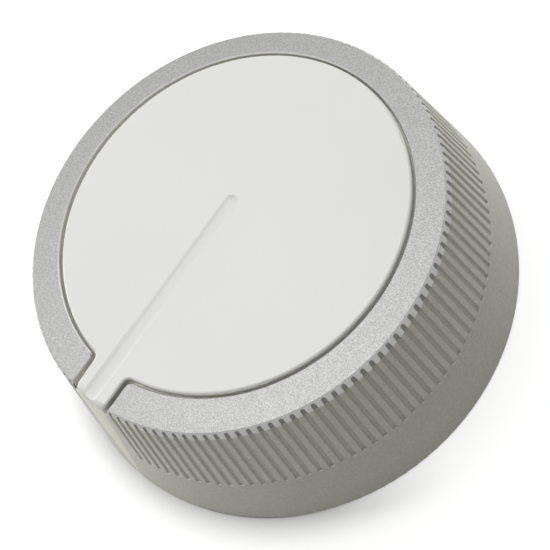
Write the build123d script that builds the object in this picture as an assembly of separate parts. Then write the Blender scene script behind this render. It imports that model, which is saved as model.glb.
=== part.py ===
from build123d import *
from math import cos, radians, sin, tan
import os

# Control knob in millimetres, +Z up out of the face.
# The origin is on the turning axis at the skirt's rim, and the pointer runs to -Y.

# Outer form
height = 20.0
wall_draft = 16.6  # lean of the outer wall in degrees
wall = 2.0
rim_round = 0.3  # rounding of the skirt's lower edge

# Face and pointer bar
face_radius = 22.1
face_offset = 0.4  # the face sits this far behind the axis, so the ring is widest at the pointer
face_wall = 2.2
face_round = 0.55
bar_width = 5.2
bar_end_round = 0.9
inner_corner = 0.9  # where the bar meets the round face

# Pointer groove, cut with a ball-ended tool that sinks towards the rim
groove_radius = 1.3
groove_tip_depth = 0.28
groove_rim_depth = 0.52
groove_past_axis = 2.6

# Silver ring
ring_gap = 0.5  # round the face
ring_end_gap = 0.6  # between each end and the bar
ring_width = 3.64
ring_drop = 0.2  # its top below the face
ring_thickness = 1.1
ring_corner = 0.8
ring_edge_bevel = 0.15  # on its inner edges
ring_rim_bevel = 0.3

# Flutes round the wall and the ring, none on the band below the pointer
flute_count = 130
flute_radius = 0.37  # half the cutter's width
flute_sides = 8  # of the cutter, one of them forming the flute's floor
flute_depth = 0.21
ring_flute_depth = 0.14  # the same row of flutes where it crosses the ring
flute_floor = 8.5  # where the flutes end above the base
flute_band = 16.0  # degrees between the two flutes beside the band

# Pins of the ring, staked over inside
pin_count = 6
pin_radius = 0.7
pin_margin = 0.4  # pin to the ring's inner edge
pin_clearance = 0.05
pin_head_radius = 1.0
pin_head_height = 0.8

# Hub for a round shaft end, split so that a spring clip can close it
shaft_radius = 3.0
hub_radius = 6.2
hub_base = 2.0
bore_depth = 13.0
slot_width = 1.2
slot_depth = 7.0
rib_count = 4
rib_width = 1.2
rib_base = 9.6

# Spring clip round the hub
clip_base = 3.0
clip_height = 4.8
clip_thickness = 0.6
clip_groove_depth = 0.35
clip_clearance = 0.05
clip_opening = 24.0  # degrees

overrun = 1.0  # how far a cutting shape runs past what it cuts

# Places that follow from the sizes
skirt_radius = face_radius + ring_gap + ring_width + height * tan(radians(wall_draft))
ring_top = height - ring_drop
seat_z = ring_top - ring_thickness
seat_roof = seat_z - wall
face_roof = height - face_wall
roof_step_radius = face_radius - wall
ring_inner_radius = face_radius + ring_gap
pin_circle = ring_inner_radius + pin_margin + pin_radius
wall_level = wall / cos(radians(wall_draft))  # wall measured along the radius
rim_reach = skirt_radius + overrun
clip_top = clip_base + clip_height


def wall_radius(z):
    return skirt_radius - z * tan(radians(wall_draft))


def upright(radius, low, high, x=0.0, y=0.0):
    return Pos(x, y, low) * Cylinder(radius, high - low, align=(Align.CENTER, Align.CENTER, Align.MIN))


def wall_cone(low, high):
    side = Polyline(
        (0, low), (wall_radius(low), low), (wall_radius(high), high), (0, high), close=True
    )
    return revolve(make_face(Plane.XZ * side), Axis.Z)


def flute_cutters(depth):
    # Each cutter follows the wall's lean and stops square at the flute's floor.
    stand_off = flute_radius - depth
    lean = radians(wall_draft)
    start_x = wall_radius(flute_floor) + stand_off * cos(lean)
    start_z = flute_floor + stand_off * sin(lean)
    reach = (height + overrun - flute_floor) / cos(lean)
    section = RegularPolygon(flute_radius, flute_sides, major_radius=False, rotation=180 / flute_sides)
    cutter = extrude(section, reach)
    cutter = Pos(start_x, 0, start_z) * Rot(0, -wall_draft, 0) * cutter
    pitch = (360.0 - flute_band) / (flute_count - 1)
    first = -90.0 + flute_band / 2
    return [Rot(0, 0, first + pitch * i) * cutter for i in range(flute_count)]


def face_outline():
    # The round face and its bar, with a small curve in the two inner corners.
    disc = Pos(0, face_offset) * Circle(face_radius)
    bar = Pos(0, -rim_reach / 2) * Rectangle(bar_width, rim_reach)
    outline = disc + bar
    corners = outline.vertices().filter_by(lambda v: v.Y > -face_radius - face_offset)
    return fillet(corners, inner_corner)


def face_block():
    block = Pos(0, 0, face_roof) * extrude(face_outline(), height - face_roof)
    block &= wall_cone(0, height)
    top = block.faces().sort_by(Axis.Z)[-1]
    end_edge = top.edges().sort_by(Axis.Y)[0]
    block = fillet(end_edge, bar_end_round)
    top = block.faces().sort_by(Axis.Z)[-1]
    side_edges = top.edges().sort_by(Axis.Y)[1:]
    return fillet(side_edges, face_round)


def pointer_groove():
    run = wall_radius(height) + groove_past_axis
    ball_y = groove_past_axis - (2 * groove_radius * groove_tip_depth - groove_tip_depth**2) ** 0.5
    tip = Vector(0, ball_y, height - groove_tip_depth + groove_radius)
    sink = (groove_rim_depth - groove_tip_depth) / run
    end = tip + Vector(0, -1, -sink) * (run + overrun)
    path = Line(tip, end)
    sweep_disc = Plane(origin=tip, z_dir=path % 0) * Circle(groove_radius)
    return extrude(sweep_disc, path.length) + Pos(*tip) * Sphere(groove_radius)


def outer_shell():
    shell = wall_cone(0, seat_z)
    shell = fillet(shell.edges().sort_by(Axis.Z)[0], rim_round)
    inner_foot = wall_radius(0) - wall_level
    inner_top = wall_radius(seat_roof) - wall_level
    hollow = Polyline(
        (0, 0), (inner_foot, 0), (inner_top, seat_roof), (roof_step_radius, seat_roof),
        (roof_step_radius, face_roof), (0, face_roof), close=True
    )
    return shell - revolve(make_face(Plane.XZ * hollow), Axis.Z)


def pin_places():
    step = 360.0 / pin_count
    return [-90.0 + step * (i + 0.5) for i in range(pin_count)]


def pins(radius, low, high):
    around = []
    for angle in pin_places():
        x = pin_circle * cos(radians(angle))
        y = pin_circle * sin(radians(angle)) + face_offset
        around.append(upright(radius, low, high, x, y))
    return around


def hub():
    post = upright(hub_radius, hub_base, face_roof)
    groove = upright(hub_radius + overrun, clip_base, clip_top)
    groove -= upright(hub_radius - clip_groove_depth, clip_base, clip_top)
    return post - groove


def shaft_bore():
    return upright(shaft_radius, hub_base, hub_base + bore_depth)


def hub_slots():
    middle = Pos(0, 0, hub_base + slot_depth / 2)
    return middle * Box(2 * (hub_radius + overrun), slot_width, slot_depth)


def ribs():
    # Upright blades from the hub, ending in the wall's thickness.
    low_end = wall_radius(rib_base) - wall_level / 2
    high_end = wall_radius(face_roof) - wall_level / 2
    outline = Polyline((0, rib_base), (low_end, rib_base), (high_end, face_roof), (0, face_roof), close=True)
    blade = extrude(make_face(Plane.XZ * outline), rib_width / 2, both=True)
    step = 360.0 / rib_count
    return [Rot(0, 0, step * (i + 0.5)) * blade for i in range(rib_count)]


def knob_body():
    body = outer_shell() + face_block() + hub()
    body += ribs()
    body -= [shaft_bore(), hub_slots(), pointer_groove()]
    body -= pins(pin_radius + pin_clearance, seat_roof - overrun, seat_z)
    return body - flute_cutters(flute_depth)


def ring_outline():
    # An open C whose two inner corners are curved like the face's own.
    outline = Circle(rim_reach) - Pos(0, face_offset) * Circle(ring_inner_radius)
    slot_half = bar_width / 2 + ring_end_gap
    outline -= Pos(0, -rim_reach / 2) * Rectangle(2 * slot_half, rim_reach)
    corners = outline.vertices().filter_by(lambda v: abs(v.Y) < rim_reach - 4 * ring_corner)
    return fillet(corners, ring_corner)


def silver_ring():
    # The rim follows the wall's lean, with a small bevel on top.
    bevel_z = ring_top - ring_rim_bevel
    side = Polyline(
        (0, seat_z), (wall_radius(seat_z), seat_z), (wall_radius(bevel_z), bevel_z),
        (wall_radius(bevel_z) - ring_rim_bevel, ring_top), (0, ring_top), close=True
    )
    ring = Pos(0, 0, seat_z) * extrude(ring_outline(), height - seat_z)
    ring &= revolve(make_face(Plane.XZ * side), Axis.Z)
    inner_edges = ring.faces().sort_by(Axis.Z)[-1].edges().sort_by(SortBy.LENGTH)[:-1]
    ring = chamfer(inner_edges, ring_edge_bevel)
    ring -= flute_cutters(ring_flute_depth)
    ring += pins(pin_radius, seat_roof, seat_z)
    return ring + pins(pin_head_radius, seat_roof - pin_head_height, seat_roof)


def hub_clip():
    inner = hub_radius - clip_groove_depth + clip_clearance
    low = clip_base + clip_clearance
    high = clip_top - clip_clearance
    band = upright(inner + clip_thickness, low, high) - upright(inner, low, high)
    mouth = Polyline(
        (0, 0), (2 * hub_radius, 2 * hub_radius * tan(radians(clip_opening / 2))),
        (2 * hub_radius, -2 * hub_radius * tan(radians(clip_opening / 2))), close=True
    )
    return band - extrude(make_face(mouth), height)


os.makedirs("parts", exist_ok=True)
export_step(knob_body(), "parts/knob_body.step")
export_step(silver_ring(), "parts/silver_ring.step")
export_step(hub_clip(), "parts/hub_clip.step")
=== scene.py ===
import bpy
from math import cos, hypot, radians, sin, sqrt
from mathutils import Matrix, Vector


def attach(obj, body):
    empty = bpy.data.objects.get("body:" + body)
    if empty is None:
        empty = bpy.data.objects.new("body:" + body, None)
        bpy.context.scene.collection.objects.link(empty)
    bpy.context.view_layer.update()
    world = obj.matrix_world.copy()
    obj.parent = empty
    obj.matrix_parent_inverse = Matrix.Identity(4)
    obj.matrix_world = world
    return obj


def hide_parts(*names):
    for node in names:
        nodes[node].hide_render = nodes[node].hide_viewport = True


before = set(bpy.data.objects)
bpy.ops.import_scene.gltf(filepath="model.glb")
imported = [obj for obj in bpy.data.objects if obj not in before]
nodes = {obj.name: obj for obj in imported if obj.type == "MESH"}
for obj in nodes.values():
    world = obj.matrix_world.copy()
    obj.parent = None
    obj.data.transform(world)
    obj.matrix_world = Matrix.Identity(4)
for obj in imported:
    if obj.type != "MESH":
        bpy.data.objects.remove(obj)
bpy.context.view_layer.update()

# Sizes of the solids in metres. The axis is Z, and the pointer runs to -Y.
knobSizes = {
    "top": 0.020,
    "seat": 0.0187,  # where the ring lies
    "fluteFloor": 0.0085,  # lower ends of the flutes
    "wallFoot": 0.0322,  # radius of the wall at its foot
    "wallLean": 0.2981,  # radius lost for each metre up
    "centre": 0.0004,  # middle of the round face, along Y
    "faceRadius": 0.0221,
    "faceRound": 0.00055,  # rounding of its rim
    "barHalf": 0.0026,  # half the width of the pointer bar
    "barCorner": 0.0009,  # between the bar and the round face
    "barEnd": -0.0254868,  # where the bar's end begins to fall
    "barEndRound": 0.0009,
    "ringRadius": 0.0226,  # of its inner edge
    "ringEnd": 0.0032,  # from the pointer's middle to each end
    "ringBevel": 0.0195,  # height where the bevel of its rim begins
}
samePlace = 0.000001  # metres, places nearer than this are one


def newMaterial(name):
    material = bpy.data.materials.new(name)
    material.use_nodes = True
    tree = material.node_tree
    return material, tree, tree.nodes["Principled BSDF"]


def objectNoise(tree, scale, detail, roughness, stretch=(1.0, 1.0, 1.0)):
    coordinates = tree.nodes.new("ShaderNodeTexCoord")
    mapping = tree.nodes.new("ShaderNodeMapping")
    noise = tree.nodes.new("ShaderNodeTexNoise")
    mapping.inputs["Scale"].default_value = stretch
    noise.inputs["Scale"].default_value = scale
    noise.inputs["Detail"].default_value = detail
    noise.inputs["Roughness"].default_value = roughness
    tree.links.new(coordinates.outputs["Object"], mapping.inputs["Vector"])
    tree.links.new(mapping.outputs["Vector"], noise.inputs["Vector"])
    return noise.outputs["Fac"]


def colourBetween(tree, factor, s):
    ramp = tree.nodes.new("ShaderNodeValToRGB")
    for element, place, shade in zip(ramp.color_ramp.elements, s["contrast"], (s["dark"], s["light"])):
        element.position = place
        element.color = (*shade, 1.0)
    tree.links.new(factor, ramp.inputs["Fac"])
    return ramp.outputs["Color"]


def addBump(tree, shader, height, distance):
    bump = tree.nodes.new("ShaderNodeBump")
    bump.inputs["Strength"].default_value = 1.0
    bump.inputs["Distance"].default_value = distance
    tree.links.new(height, bump.inputs["Height"])
    tree.links.new(bump.outputs["Normal"], shader.inputs["Normal"])


def mathNode(tree, operation, first, second=0.0):
    node = tree.nodes.new("ShaderNodeMath")
    node.operation = operation
    for socket, value in zip(node.inputs, (first, second)):
        if isinstance(value, (int, float)):
            socket.default_value = value
        else:
            tree.links.new(value, socket)
    return node.outputs["Value"]


def allOf(tree, *masks):
    together = masks[0]
    for mask in masks[1:]:
        together = mathNode(tree, "MULTIPLY", together, mask)
    return together


def ramped(tree, value, span, base=0.0):
    # span is where the mask is 0 and where it is 1, measured from base
    node = tree.nodes.new("ShaderNodeMapRange")
    node.interpolation_type = "SMOOTHSTEP"
    node.inputs["From Min"].default_value = base + span[0]
    node.inputs["From Max"].default_value = base + span[1]
    tree.links.new(value, node.inputs["Value"])
    return node.outputs["Result"]


def tinted(tree, factor, below, above):
    mix = tree.nodes.new("ShaderNodeMix")
    mix.data_type = "RGBA"
    belowSocket, aboveSocket = mix.inputs[6], mix.inputs[7]  # the two colours
    tree.links.new(factor, mix.inputs["Factor"])
    if isinstance(below, tuple):
        belowSocket.default_value = (*below, 1.0)
    else:
        tree.links.new(below, belowSocket)
    aboveSocket.default_value = (*above, 1.0)
    return mix.outputs[2]


def placeOnObject(tree):
    coordinates = tree.nodes.new("ShaderNodeTexCoord")
    split = tree.nodes.new("ShaderNodeSeparateXYZ")
    tree.links.new(coordinates.outputs["Object"], split.inputs["Vector"])
    return split.outputs


def summed(tree, first, firstShare, second, secondShare):
    first = mathNode(tree, "MULTIPLY", first, firstShare)
    second = mathNode(tree, "MULTIPLY", second, secondShare)
    return mathNode(tree, "ADD", first, second)


def fromAxis(tree, x, y):
    return mathNode(tree, "SQRT", summed(tree, x, x, y, y))


def depthInWall(tree, x, y, z):
    # how far a point lies inside the leaning wall's outer surface
    lost = mathNode(tree, "MULTIPLY", z, knobSizes["wallLean"])
    surface = mathNode(tree, "SUBTRACT", knobSizes["wallFoot"], lost)
    return mathNode(tree, "SUBTRACT", surface, fromAxis(tree, x, y))


# In both finishes a pair in metres says where a tint begins and where it is full.
whitePlasticSettings = {
    "light": (0.780, 0.788, 0.755),  # the faint mottle goes between these two
    "dark": (0.762, 0.770, 0.735),
    "contrast": (0.3, 0.7),  # noise values where it is all dark and all light
    "mottle": (55.0, 3.0, 0.5),  # patches per metre, then detail and roughness
    "roughness": 0.45,
    "grain": (9000.0, 2.0, 0.5),  # as a bump
    "grainHeight": 0.00001,
    "wall": (0.615, 0.615, 0.56),  # the textured wall
    "wallDepth": (0.0006, 0.0003),
    "wallTop": (0.0196, 0.0190),
    "specks": (2400.0, 2.0, 0.6),  # on the textured wall
    "speckMiddle": 0.5,
    "speckDepth": 0.42,
    "strip": (0.87, 0.87, 0.755),  # painted light, lighter than the face: a lit band below the pointer
    "stripFoot": 0.0004,  # half its width at its foot
    "stripSpread": 0.11,  # and gained for each metre up
    "stripSide": (-0.0004, 0.0004),
    "bandHalf": 0.0034,  # half the width without flutes
    "bandSide": (-0.0001, 0.0001),
    "behindPointer": (-0.010, -0.009),  # no strip or band from here on
    "recessShade": (0.53, 0.534, 0.485),  # painted shade in the flutes
    "recessDepth": (0.00003, 0.00014),
    "recessFoot": (-0.0001, 0.0),
    "pocketShadow": (0.54, 0.51, 0.45),  # painted shadow in the flutes' upper ends, under the ring
    "pocketFoot": (-0.0004, 0.0),
    "ridge": (0.715, 0.70, 0.618),  # painted light on the ridges between the flutes
    "ridgeDepth": (0.00008, 0.00002),
    "ridgeFoot": (0.0, 0.001),
    "gap": (0.93, 0.91, 0.85),  # painted light on the face's side in the gap, which lies in shade
    "gapDepth": (0.00015, 0.0003),
    "gapTop": (0.0195, 0.0190),
    "gapFoot": (-0.0001, -0.00005),
    "seat": (0.86, 0.83, 0.76),  # painted light on the gap's floor, which lies in shade; warmer than the face
    "seatTop": (0.00012, 0.00004),
    "groove": (0.742, 0.748, 0.715),  # painted shade in the pointer's groove
    "grooveTop": (-0.00002, -0.00006),
    "grooveFloor": (-0.0006, -0.0005),
    "grooveSide": (0.0016, 0.0014),
    "grooveRim": (-0.0262, -0.0252),
    "grooveTip": (0.0050, 0.0045),
}


def wallTints(tree, s, across, y, z, depth):
    # the textured wall; its flutes, with painted light on their ridges, painted shade in them and
    # painted shadow at their upper ends; and a strip of painted light on the band without flutes
    fluteFloor = knobSizes["fluteFloor"]
    textured = allOf(tree, ramped(tree, depth, s["wallDepth"]), ramped(tree, z, s["wallTop"]))
    behind = ramped(tree, y, s["behindPointer"])
    halfStrip = mathNode(tree, "ADD", mathNode(tree, "MULTIPLY", z, s["stripSpread"]), s["stripFoot"])
    besideStrip = mathNode(tree, "SUBTRACT", across, halfStrip)
    offStrip = mathNode(tree, "MAXIMUM", ramped(tree, besideStrip, s["stripSide"]), behind)
    offBand = mathNode(tree, "MAXIMUM", ramped(tree, across, s["bandSide"], s["bandHalf"]), behind)
    # painted light on the strip below the pointer
    strip = allOf(tree, textured, mathNode(tree, "SUBTRACT", 1.0, offStrip))
    wall = allOf(tree, textured, offStrip)
    aboveFoot = ramped(tree, z, s["ridgeFoot"], fluteFloor)
    # painted light on the ridges between the flutes
    ridge = allOf(tree, ramped(tree, depth, s["ridgeDepth"]), wall, aboveFoot, offBand)
    aboveFloor = ramped(tree, z, s["recessFoot"], fluteFloor)
    # painted shade in the flutes
    recessShade = allOf(tree, wall, ramped(tree, depth, s["recessDepth"]), aboveFloor, offBand)
    # painted shadow in the flutes' upper ends, under the ring
    pocketShadow = allOf(tree, recessShade, ramped(tree, z, s["pocketFoot"], knobSizes["seat"]))
    tints = [(strip, "strip"), (wall, "wall"), (ridge, "ridge"), (recessShade, "recessShade")]
    return textured, tints + [(pocketShadow, "pocketShadow")]


def gapLightTints(tree, s, z, depth):
    seat = knobSizes["seat"]
    # painted light in the gap between face and ring, which lies in shade
    inGap = allOf(
        tree,
        ramped(tree, depth, s["gapDepth"]),
        ramped(tree, z, s["gapTop"]),
        ramped(tree, z, s["gapFoot"], seat),
    )
    # painted light on the gap's floor, which lies in shade
    seatLight = allOf(tree, inGap, ramped(tree, z, s["seatTop"], seat))
    return [(inGap, "gap"), (seatLight, "seat")]


def grooveShadeTints(tree, s, across, y, z):
    top = knobSizes["top"]
    # painted shade in the pointer's groove
    grooveShade = allOf(
        tree,
        ramped(tree, z, s["grooveTop"], top),
        ramped(tree, z, s["grooveFloor"], top),
        ramped(tree, across, s["grooveSide"]),
        ramped(tree, y, s["grooveRim"]),
        ramped(tree, y, s["grooveTip"]),
    )
    return [(grooveShade, "groove")]


def speckled(tree, s, colour, where):
    specks = mathNode(tree, "SUBTRACT", objectNoise(tree, *s["specks"]), s["speckMiddle"])
    shade = mathNode(tree, "ADD", allOf(tree, specks, s["speckDepth"], where), 1.0)
    shaded = tree.nodes.new("ShaderNodeVectorMath")
    shaded.operation = "SCALE"
    tree.links.new(colour, shaded.inputs["Vector"])
    tree.links.new(shade, shaded.inputs["Scale"])
    return shaded.outputs["Vector"]


def makeWhitePlastic():
    s = whitePlasticSettings
    material, tree, shader = newMaterial("whitePlastic")
    x, y, z = placeOnObject(tree)
    across = mathNode(tree, "ABSOLUTE", x)
    depth = depthInWall(tree, x, y, z)
    textured, tints = wallTints(tree, s, across, y, z, depth)
    tints += gapLightTints(tree, s, z, depth) + grooveShadeTints(tree, s, across, y, z)
    colour = colourBetween(tree, objectNoise(tree, *s["mottle"]), s)
    for mask, finish in tints:
        colour = tinted(tree, mask, colour, s[finish])
    colour = speckled(tree, s, colour, textured)
    tree.links.new(colour, shader.inputs["Base Color"])
    shader.inputs["Roughness"].default_value = s["roughness"]
    addBump(tree, shader, objectNoise(tree, *s["grain"]), s["grainHeight"])
    return material


silverSettings = {
    "light": (0.325, 0.325, 0.321),
    "dark": (0.180, 0.180, 0.177),
    "contrast": (0.32, 0.68),
    "flake": (6500.0, 3.0, 0.65),  # grain of the coat, in colour and bump
    "flakeHeight": 0.00003,
    "metallic": 0.8,
    "roughness": 0.45,
    "edgeHighlight": (0.50, 0.50, 0.49),  # painted highlight along the inner edge and its wall
    "edgeReach": (0.00018, 0.00012),
    "endHighlight": (0.29, 0.29, 0.285),  # painted highlight on the end that stands nearer to the pointer
    "endReach": (-0.00010, -0.00014),
    "endFront": (0.0, -0.001),
    "endWallTop": (0.01966, 0.01960),
    "rim": (0.50, 0.50, 0.485),  # painted light on the rim's side wall between its flutes
    "rimShare": 0.75,  # and its grain shows through
    "rimCut": (0.00005, 0.00002),
    "rimTop": (0.01979, 0.01976),
    "notchShade": (0.155, 0.155, 0.14),  # painted shade in the flutes of its rim
    "notchCut": (0.00002, 0.00009),
    "notchDepth": (0.0003, 0.0002),
    "notchTop": (0.0197, 0.0195),
}


def makeSilverCoat():
    s = silverSettings
    material, tree, shader = newMaterial("silverCoat")
    flake = objectNoise(tree, *s["flake"])
    x, y, z = placeOnObject(tree)
    depth = depthInWall(tree, x, y, z)
    upBevel = mathNode(tree, "MAXIMUM", mathNode(tree, "SUBTRACT", z, knobSizes["ringBevel"]), 0.0)
    cut = mathNode(tree, "SUBTRACT", depth, upBevel)  # how deep the flutes cut into the rim
    fromCentre = fromAxis(tree, x, mathNode(tree, "SUBTRACT", y, knobSizes["centre"]))
    # painted highlight along the ring's inner edge and its wall
    edgeHighlight = ramped(tree, fromCentre, s["edgeReach"], knobSizes["ringRadius"])
    besidePointer = ramped(tree, mathNode(tree, "ABSOLUTE", x), s["endReach"], knobSizes["ringEnd"])
    # painted highlight on the ring's end, and painted light on its wall below
    endHighlight = allOf(tree, besidePointer, ramped(tree, y, s["endFront"]))
    endWallLight = allOf(tree, endHighlight, ramped(tree, z, s["endWallTop"]))
    # painted light on the rim's side wall between the flutes
    rim = allOf(tree, ramped(tree, cut, s["rimCut"]), ramped(tree, z, s["rimTop"]), s["rimShare"])
    # painted shade in the notches of the ring's rim
    notchShade = allOf(
        tree,
        ramped(tree, cut, s["notchCut"]),
        ramped(tree, depth, s["notchDepth"]),
        ramped(tree, z, s["notchTop"]),
    )
    tints = [(edgeHighlight, "edgeHighlight"), (endHighlight, "endHighlight"), (endWallLight, "edgeHighlight"), (rim, "rim"), (notchShade, "notchShade")]
    colour = colourBetween(tree, flake, s)
    for mask, finish in tints:
        colour = tinted(tree, mask, colour, s[finish])
    tree.links.new(colour, shader.inputs["Base Color"])
    shader.inputs["Metallic"].default_value = s["metallic"]
    shader.inputs["Roughness"].default_value = s["roughness"]
    addBump(tree, shader, flake, s["flakeHeight"])
    return material


steelSettings = {
    "light": (0.60, 0.60, 0.61),
    "dark": (0.44, 0.44, 0.46),
    "contrast": (0.3, 0.7),
    "lines": (2600.0, 2.0, 0.5, (0.05, 0.05, 1.0)),  # drawn out round the band
    "metallic": 1.0,
    "roughness": 0.30,
}


def makeSpringSteel():
    s = steelSettings
    material, tree, shader = newMaterial("springSteel")
    colour = colourBetween(tree, objectNoise(tree, *s["lines"]), s)
    tree.links.new(colour, shader.inputs["Base Color"])
    shader.inputs["Metallic"].default_value = s["metallic"]
    shader.inputs["Roughness"].default_value = s["roughness"]
    return material


# How the face with its bar differs from the solid
faceSettings = {
    "roundKept": 0.65,  # share of the rim's rounding that stays
    "endShare": 0.45,  # share of the bar's rounded end where the rim goes back to the solid's
    "longer": 0.009,  # share that the disc gains along Y
    "aside": 0.0002,  # towards +X
    "barStart": -0.0226,  # beyond it the bar is free of the disc
    "barNarrower": 0.00014,  # on its -X side
}


def insideFaceEdge(x, y):
    # distance inside the outline of disc and bar, and the way out
    k = knobSizes
    side = 1.0 if x > 0 else -1.0
    cornerAside = k["barHalf"] + k["barCorner"]
    discDistance = sqrt((k["faceRadius"] + k["barCorner"]) ** 2 - cornerAside ** 2)
    cornerMiddle = Vector((side * cornerAside, k["centre"] - discDistance))
    fromCorner = Vector((x, y)) - cornerMiddle
    if y < cornerMiddle.y:
        return k["barHalf"] - abs(x), Vector((side, 0.0))
    towardsDisc = Vector((0.0, k["centre"])) - cornerMiddle
    cross = side * (fromCorner.x * towardsDisc.y - fromCorner.y * towardsDisc.x)
    if cross < 0 and abs(x) < cornerAside:
        return fromCorner.length - k["barCorner"], -fromCorner.normalized()
    fromDisc = Vector((x, y - k["centre"]))
    return k["faceRadius"] - fromDisc.length, fromDisc.normalized()


def movedAside(x, y):
    # along X, and round the axis at the bar's end so that the wall stays round
    aside = faceSettings["aside"]
    if y > knobSizes["barEnd"] + samePlace:
        return x + aside, y
    turn = aside / abs(knobSizes["barEnd"])
    return x * cos(turn) - y * sin(turn), y * cos(turn) + x * sin(turn)


def tightenRim(piece):
    k = knobSizes
    s = faceSettings
    moved = set()
    for vertex in piece.data.vertices:
        x, y, z = vertex.co
        fall = max(0.0, min(k["barEnd"] - y, k["barEndRound"]))
        top = k["top"] - k["barEndRound"] + sqrt(k["barEndRound"] ** 2 - fall ** 2)
        inside, outward = insideFaceEdge(x, y)
        onRim = -samePlace < inside < k["faceRound"] + samePlace
        if not (onRim and k["seat"] - samePlace < z < top + samePlace):
            continue
        share = 1.0 - min(1.0, fall / (s["endShare"] * k["barEndRound"]))
        kept = 1.0 - (1.0 - s["roundKept"]) * share
        shift = inside * (1.0 - kept)
        longer = s["longer"] * y if y > s["barStart"] else 0.0
        height = top - (top - z) * kept if z > top - k["faceRound"] - samePlace else z
        onBarSide = x < 0 and abs(x) < k["barHalf"] + samePlace and y < s["barStart"]
        narrower = s["barNarrower"] if onBarSide else 0.0
        narrower *= 1.0 - min(1.0, max(0.0, inside) / k["faceRound"])
        x, y = movedAside(x + outward.x * shift + narrower, y + outward.y * shift + longer)
        vertex.co = (x, y, height)
        moved.add(vertex.index)
    print("rim", len(moved))
    return moved


# The groove as the solid has it, and as it is shown
grooveSettings = {
    "half": 0.00108,  # the widest half width to look for it in
    "tip": 0.0028,  # along Y, and nothing of it lies beyond
    "tool": 0.0013,  # radius of the ball-ended cut
    "toolSlack": 0.000006,
    "toolHeight": 0.02102,  # height of the ball's middle at the tip
    "toolPlace": 0.00179,  # and where that is along Y
    "toolSink": 0.00832,  # height lost for each metre towards the rim
    "tipHalf": 0.00081,  # half the solid's width at the axis and at the rim
    "rimHalf": 0.00104,
    "tipShown": 0.00108,  # half the width shown there
    "rimShown": 0.00104,
    "tipKept": 1.00,  # share of the solid's depth shown there
    "rimKept": 0.46,
}


def barEndReach(depth):
    # how far the bar's rounded end has come forward at this depth
    endRound = knobSizes["barEndRound"]
    return sqrt(endRound ** 2 - (endRound - depth) ** 2)


def easeGroove(piece):
    # shallower towards the rim, and nearly even in width
    k = knobSizes
    s = grooveSettings
    moved = set()
    for vertex in piece.data.vertices:
        x, y, z = vertex.co
        nearTop = k["top"] - k["faceRound"] - samePlace < z < k["top"] + samePlace
        if abs(x) > s["half"] or y > s["tip"] or not nearTop:
            continue
        onEnd = y < k["barEnd"]
        toolMiddle = s["toolHeight"] - (s["toolPlace"] - y) * s["toolSink"]
        if onEnd and abs(hypot(x, z - toolMiddle) - s["tool"]) > s["toolSlack"]:
            continue
        along = min(1.0, max(0.0, y / k["barEnd"]))
        half = s["tipHalf"] + (s["rimHalf"] - s["tipHalf"]) * along
        shown = s["tipShown"] + (s["rimShown"] - s["tipShown"]) * along
        depth = k["top"] - z
        newDepth = depth * (s["tipKept"] + (s["rimKept"] - s["tipKept"]) * along)
        x, y = movedAside(x * shown / half, y)
        if onEnd:
            y += barEndReach(depth) - barEndReach(newDepth)
        vertex.co = (x, y, k["top"] - newDepth)
        moved.add(vertex.index)
    print("groove", len(moved))
    return moved


def shiftBarEnd(piece, done):
    # the rest of the bar's rounded end goes with its groove and rim
    k = knobSizes
    for vertex in piece.data.vertices:
        x, y, z = vertex.co
        onEnd = y < k["barEnd"] + samePlace and z > k["seat"] + samePlace and abs(x) < k["barHalf"]
        if onEnd and vertex.index not in done:
            vertex.co = (*movedAside(x, y), z)


def reshapeFace(piece):
    groove = easeGroove(piece)
    rim = tightenRim(piece)
    shiftBarEnd(piece, groove | rim)


ringSettings = {
    "endShift": 0.0003,  # its -X end stands this much nearer to the pointer
    "endReach": 0.0008,  # and what lies within this goes with it
}


def reshapeRing(piece):
    s = ringSettings
    moved = 0
    for vertex in piece.data.vertices:
        x, y = vertex.co.xy
        share = 1.0 - (abs(x) - knobSizes["ringEnd"]) / s["endReach"]
        if x > 0 or y > 0 or share <= 0:
            continue
        vertex.co.x = x + s["endShift"] * min(1.0, share)
        moved += 1
    print("ring end", moved)


edgeSettings = {
    "flat": 0.4,  # degrees, faces that turn less than this become one
    "width": 0.00006,  # of the fine rounding on every sharp edge
    "segments": 2,
    "sharp": 28.0,  # degrees
    "smooth": 50.0,  # degrees
}


def pickOnly(piece):
    bpy.ops.object.select_all(action="DESELECT")
    piece.select_set(True)
    bpy.context.view_layer.objects.active = piece


def fineCopy(node, name, material, reshape):
    s = edgeSettings
    piece = nodes[node].copy()
    piece.data = nodes[node].data.copy()
    piece.name = name
    bpy.context.collection.objects.link(piece)
    pickOnly(piece)
    bpy.ops.object.mode_set(mode="EDIT")
    bpy.ops.mesh.select_all(action="SELECT")
    bpy.ops.mesh.remove_doubles(threshold=samePlace)
    bpy.ops.object.mode_set(mode="OBJECT")
    reshape(piece)
    bpy.ops.object.mode_set(mode="EDIT")
    bpy.ops.mesh.dissolve_limited(angle_limit=radians(s["flat"]))
    bpy.ops.object.mode_set(mode="OBJECT")
    rounding = piece.modifiers.new("rounding", "BEVEL")
    rounding.width = s["width"]
    rounding.segments = s["segments"]
    rounding.limit_method = "ANGLE"
    rounding.angle_limit = radians(s["sharp"])
    bpy.ops.object.modifier_apply(modifier=rounding.name)
    bpy.ops.object.shade_smooth_by_angle(angle=radians(s["smooth"]))
    evenShade = piece.modifiers.new("evenShade", "WEIGHTED_NORMAL")
    evenShade.keep_sharp = True
    bpy.ops.object.modifier_apply(modifier=evenShade.name)
    piece.data.materials.clear()
    piece.data.materials.append(material)
    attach(piece, "root")
    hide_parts(node)
    print(name, len(piece.data.polygons), "faces")


def coat(piece, material):
    for slot in piece.material_slots:
        slot.material = material
    if not piece.material_slots:
        piece.data.materials.append(material)


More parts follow.
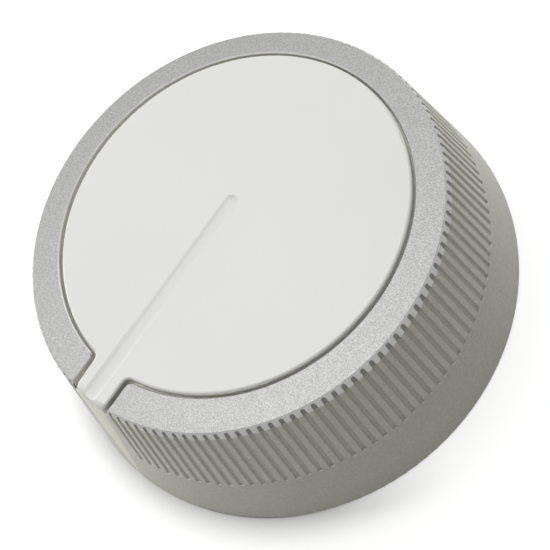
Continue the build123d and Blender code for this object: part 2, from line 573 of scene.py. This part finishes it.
def shownRays(tree):
    # the camera and the gloss see a white room, the light on the object stays as it is
    path = tree.nodes.new("ShaderNodeLightPath")
    return mathNode(tree, "MAXIMUM", path.outputs["Is Camera Ray"], path.outputs["Is Glossy Ray"])


floorSettings = {
    "half": 1.2,
    "level": -0.00002,  # just under the skirt
    "bounced": (0.56, 0.56, 0.515),  # its colour for the light on the knob
    "seen": (0.45, 0.45, 0.45),  # and for the camera
    "roughness": 0.9,
    "glow": 0.70,  # share of white that it gives near the knob
    "glowColour": (1.0, 1.0, 1.0, 1.0),
    "white": (0.07, 0.30),  # between these distances the floor grows white
    "contactShadowReach": 0.0048,  # how far the painted shadow under the rim reaches
    "contactShadowFloor": 0.50,  # openness at which the glow is gone, where the painted shadow is full
    "contactShadowRays": 16,
    "shadeSide": (-0.45, -0.89),  # the side where the painted shadow shows
    "openSide": (0.020, -0.010),  # along it, where the painted shadow is full and where it ends
}


def floorGlowAndShadow(tree, shown):
    s = floorSettings
    # painted shadow: the floor's glow fades near the knob, on one side only
    nearness = tree.nodes.new("ShaderNodeAmbientOcclusion")
    nearness.samples = s["contactShadowRays"]
    nearness.inputs["Distance"].default_value = s["contactShadowReach"]
    contactShadow = mathNode(tree, "SUBTRACT", nearness.outputs["AO"], s["contactShadowFloor"])
    contactShadow = mathNode(tree, "DIVIDE", contactShadow, 1.0 - s["contactShadowFloor"])
    x, y = placeOnObject(tree)[:2]
    sideX, sideY = s["shadeSide"]
    side = summed(tree, x, sideX, y, sideY)
    contactShadow = mathNode(tree, "MAXIMUM", contactShadow, ramped(tree, side, s["openSide"]))
    far = ramped(tree, fromAxis(tree, x, y), s["white"])
    level = mathNode(tree, "ADD", mathNode(tree, "MULTIPLY", far, 1.0 - s["glow"]), s["glow"])
    return allOf(tree, shown, level, contactShadow)


def makeFloor():
    s = floorSettings
    bpy.ops.object.select_all(action="DESELECT")
    bpy.ops.mesh.primitive_plane_add(size=2 * s["half"], location=(0, 0, s["level"]))
    floor = bpy.context.active_object
    floor.name = "floor"
    material, tree, shader = newMaterial("paleFloor")
    shown = shownRays(tree)
    tree.links.new(tinted(tree, shown, s["bounced"], s["seen"]), shader.inputs["Base Color"])
    tree.links.new(floorGlowAndShadow(tree, shown), shader.inputs["Emission Strength"])
    shader.inputs["Emission Color"].default_value = s["glowColour"]
    shader.inputs["Roughness"].default_value = s["roughness"]
    shader.inputs["Specular IOR Level"].default_value = 0.0
    floor.data.materials.append(material)


lightSettings = {
    "top": {"place": (-0.135, 0.0, 0.430), "size": 0.38, "watts": 1.40, "colour": (1.0, 1.0, 1.0)},
    "left": {"place": (-0.38, -0.16, 0.065), "size": 0.11, "watts": 0.43, "colour": (1.0, 1.0, 0.97)},
    "back": {"place": (-0.10, 0.36, 0.17), "size": 0.26, "watts": 0.42, "colour": (1.0, 1.0, 0.98)},
}
lightAim = Vector((0, 0, 0.01))  # the middle of the knob


def makeLight(name, s):
    bpy.ops.object.light_add(type="AREA", location=s["place"])
    lamp = bpy.context.active_object
    lamp.name = name + "Light"
    lamp.data.shape = "DISK"
    lamp.data.size = s["size"]
    lamp.data.energy = s["watts"]
    lamp.data.color = s["colour"]
    towards = lightAim - Vector(s["place"])
    lamp.rotation_euler = towards.to_track_quat("-Z", "Y").to_euler()


worldSettings = {
    "colour": (1.0, 0.99, 0.95),
    "strength": 0.17,
    "seen": (1.0, 1.0, 1.0),  # by the camera and in the gloss
}


def makeWorld():
    s = worldSettings
    world = bpy.data.worlds.new("studio")
    world.use_nodes = True
    tree = world.node_tree
    dim = tuple(part * s["strength"] for part in s["colour"])
    colour = tinted(tree, shownRays(tree), dim, s["seen"])
    tree.links.new(colour, tree.nodes["Background"].inputs["Color"])
    bpy.context.scene.world = world


cameraSettings = {
    "place": (0.05509, -0.01578, 0.09536),
    "turn": (24.739, 19.940, 37.563),  # degrees
    "focalLength": 800.0,  # in pixels of the photograph
    "photoWidth": 550,  # pixels, and the photograph is square
    "sensor": 36.0,  # millimetres
    "nearest": 0.001,  # metres, what is nearer isn't drawn
}


def makeCamera():
    s = cameraSettings
    bpy.ops.object.camera_add(location=s["place"], rotation=[radians(angle) for angle in s["turn"]])
    camera = bpy.context.active_object
    camera.data.sensor_width = s["sensor"]
    camera.data.lens = s["focalLength"] / s["photoWidth"] * s["sensor"]
    camera.data.clip_start = s["nearest"]
    bpy.context.scene.camera = camera


print("materials")
fineCopy("knob_body", "knobBody", makeWhitePlastic(), reshapeFace)
fineCopy("silver_ring", "silverRing", makeSilverCoat(), reshapeRing)
coat(nodes["hub_clip"], makeSpringSteel())

print("floor, light and camera")
makeFloor()
for lightName, lightValues in lightSettings.items():
    makeLight(lightName, lightValues)
makeWorld()
makeCamera()
bpy.context.scene.view_settings.view_transform = "Standard"

print("finished")
